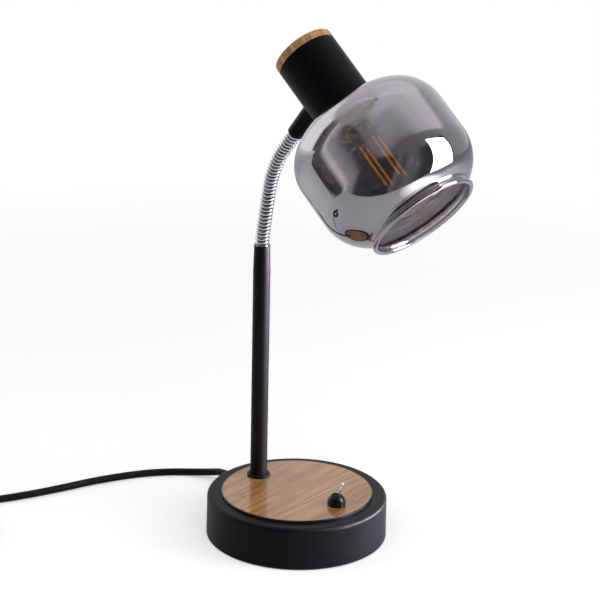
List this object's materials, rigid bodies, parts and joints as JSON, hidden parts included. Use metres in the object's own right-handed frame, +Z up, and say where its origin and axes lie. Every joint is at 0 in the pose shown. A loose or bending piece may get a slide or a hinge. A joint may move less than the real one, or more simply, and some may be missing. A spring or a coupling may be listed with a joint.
{
  "type": "gooseneck table lamp",
  "caption": "Table lamp: round weighted base with wooden top and toggle switch, upright tube, bendable coiled neck and tilted head with a smoked glass shade.",
  "frame": {"origin": "middle of the base's underside", "axes": "+Z up; +X from the upright towards the switch and the head; +Y completes the right-handed frame"},
  "size_m": [0.387, 0.3739, 0.3952],
  "materials": {
    "black_paint": "satin",
    "black_gloss": "gloss",
    "oak": "lacquered",
    "steel": "plain",
    "iron": "as cast",
    "chrome": "polished",
    "brass": "plain",
    "nickel": "satin",
    "pad": "matt",
    "white_plastic": "satin",
    "black_plastic": "matt",
    "grey_plastic": "matt",
    "smoked_glass": "smoke tinted, mirrored towards the top",
    "clear_glass": "clear",
    "phosphor": "matt"
  },
  "bodies": {
    "stand": {"foot_pad": "pad", "base_plate": "steel", "base_weight": "iron", "base_screws": "steel", "base_shell": "black_paint", "wood_disc": "oak", "pole_flange": "black_paint", "pole_foot_bush": "steel", "pole_stud": "steel", "pole_washer": "steel", "pole_nut": "steel", "pole_tube": "black_paint", "neck_lower_fitting": "steel", "neck_coil_00": "chrome", "switch_dome": "black_gloss", "switch_bushing": "steel", "switch_nut": "steel", "switch_body": "black_plastic", "switch_terminals": "brass", "cord_relief": "black_plastic", "cord_lead_in": "black_plastic", "terminal_block": "white_plastic", "terminal_screws": "steel", "cord_clamp": "black_plastic", "mains_cord": "black_plastic", "cord_coil": "black_plastic", "plug_body": "black_plastic", "plug_pins": "nickel"},
    "lever": {"switch_lever": "chrome"},
    "neck_link_01": {"neck_coil_01": "chrome"},
    "neck_link_02": {"neck_coil_02": "chrome"},
    "neck_link_03": {"neck_coil_03": "chrome"},
    "neck_link_04": {"neck_coil_04": "chrome"},
    "neck_link_05": {"neck_coil_05": "chrome"},
    "neck_link_06": {"neck_coil_06": "chrome"},
    "neck_link_07": {"neck_coil_07": "chrome"},
    "neck_link_08": {"neck_coil_08": "chrome"},
    "neck_link_09": {"neck_coil_09": "chrome"},
    "neck_link_10": {"neck_coil_10": "chrome"},
    "neck_link_11": {"neck_coil_11": "chrome"},
    "head": {"neck_coil_12": "chrome", "neck_upper_fitting": "steel", "ferrule": "black_paint", "head_saddle_washer": "steel", "head_nut": "steel", "head_cup": "black_paint", "wood_cap": "oak", "holder_nipple": "steel", "holder_nuts": "steel", "lampholder": "white_plastic", "holder_screw_shell": "nickel", "holder_contact": "brass", "shade_ring": "white_plastic", "bulb_glass": "clear_glass", "bulb_base": "nickel", "bulb_contact": "brass", "bulb_stem": "clear_glass", "bulb_filaments": "phosphor", "bulb_wires": "nickel", "shade_glass": "smoked_glass"}
  },
  "joints": [
    {"name": "neck_bend", "type": "hinge", "parent": "stand", "child": "neck_link_01", "pos_m": [-0.04089, 0, 0.22862], "axis": [0, 1, 0], "range_deg": [-10, 8]},
    {"name": "neck_lean", "type": "hinge", "parent": "neck_link_01", "child": "neck_link_02", "pos_m": [-0.04004, 0, 0.23683], "axis": [0.9881, 0, -0.1541], "range_deg": [-10, 10]},
    {"name": "neck_bend_2", "type": "hinge", "parent": "neck_link_02", "child": "neck_link_03", "pos_m": [-0.03869, 0, 0.24496], "axis": [0, 1, 0], "range_deg": [-10, 8]},
    {"name": "neck_lean_2", "type": "hinge", "parent": "neck_link_03", "child": "neck_link_04", "pos_m": [-0.03733, 0, 0.2531], "axis": [0.9863, 0, -0.165], "range_deg": [-10, 10]},
    {"name": "neck_bend_3", "type": "hinge", "parent": "neck_link_04", "child": "neck_link_05", "pos_m": [-0.03596, 0, 0.26124], "axis": [0, 1, 0], "range_deg": [-10, 8]},
    {"name": "neck_lean_3", "type": "hinge", "parent": "neck_link_05", "child": "neck_link_06", "pos_m": [-0.03459, 0, 0.26937], "axis": [0.9828, 0, -0.1849], "range_deg": [-10, 10]},
    {"name": "neck_bend_4", "type": "hinge", "parent": "neck_link_06", "child": "neck_link_07", "pos_m": [-0.03265, 0, 0.27738], "axis": [0, 1, 0], "range_deg": [-10, 8]},
    {"name": "neck_lean_4", "type": "hinge", "parent": "neck_link_07", "child": "neck_link_08", "pos_m": [-0.02989, 0, 0.28516], "axis": [0.9241, 0, -0.3822], "range_deg": [-10, 10]},
    {"name": "neck_bend_5", "type": "hinge", "parent": "neck_link_08", "child": "neck_link_09", "pos_m": [-0.02635, 0, 0.29261], "axis": [0, 1, 0], "range_deg": [-10, 8]},
    {"name": "neck_lean_5", "type": "hinge", "parent": "neck_link_09", "child": "neck_link_10", "pos_m": [-0.02206, 0, 0.29965], "axis": [0.8262, 0, -0.5633], "range_deg": [-10, 10]},
    {"name": "neck_bend_6", "type": "hinge", "parent": "neck_link_10", "child": "neck_link_11", "pos_m": [-0.01712, 0, 0.30625], "axis": [0, 1, 0], "range_deg": [-10, 8]},
    {"name": "neck_lean_6", "type": "hinge", "parent": "neck_link_11", "child": "head", "pos_m": [-0.01204, 0, 0.31275], "axis": [0.788, 0, -0.6157], "range_deg": [-10, 10]},
    {"name": "switch_toggle", "type": "hinge", "parent": "stand", "child": "lever", "pos_m": [0.0405, 0, 0.0366], "axis": [-0.6561, 0.7547, 0], "range_deg": [-28.8, 0]}
  ],
  "couplings": [
    {"joint": "neck_bend_2", "follows": "neck_bend", "ratio": 1},
    {"joint": "neck_lean_2", "follows": "neck_lean", "ratio": 1},
    {"joint": "neck_bend_3", "follows": "neck_bend", "ratio": 1},
    {"joint": "neck_lean_3", "follows": "neck_lean", "ratio": 1},
    {"joint": "neck_bend_4", "follows": "neck_bend", "ratio": 1},
    {"joint": "neck_lean_4", "follows": "neck_lean", "ratio": 1},
    {"joint": "neck_bend_5", "follows": "neck_bend", "ratio": 1},
    {"joint": "neck_lean_5", "follows": "neck_lean", "ratio": 1},
    {"joint": "neck_bend_6", "follows": "neck_bend", "ratio": 1},
    {"joint": "neck_lean_6", "follows": "neck_lean", "ratio": 1}
  ]
}
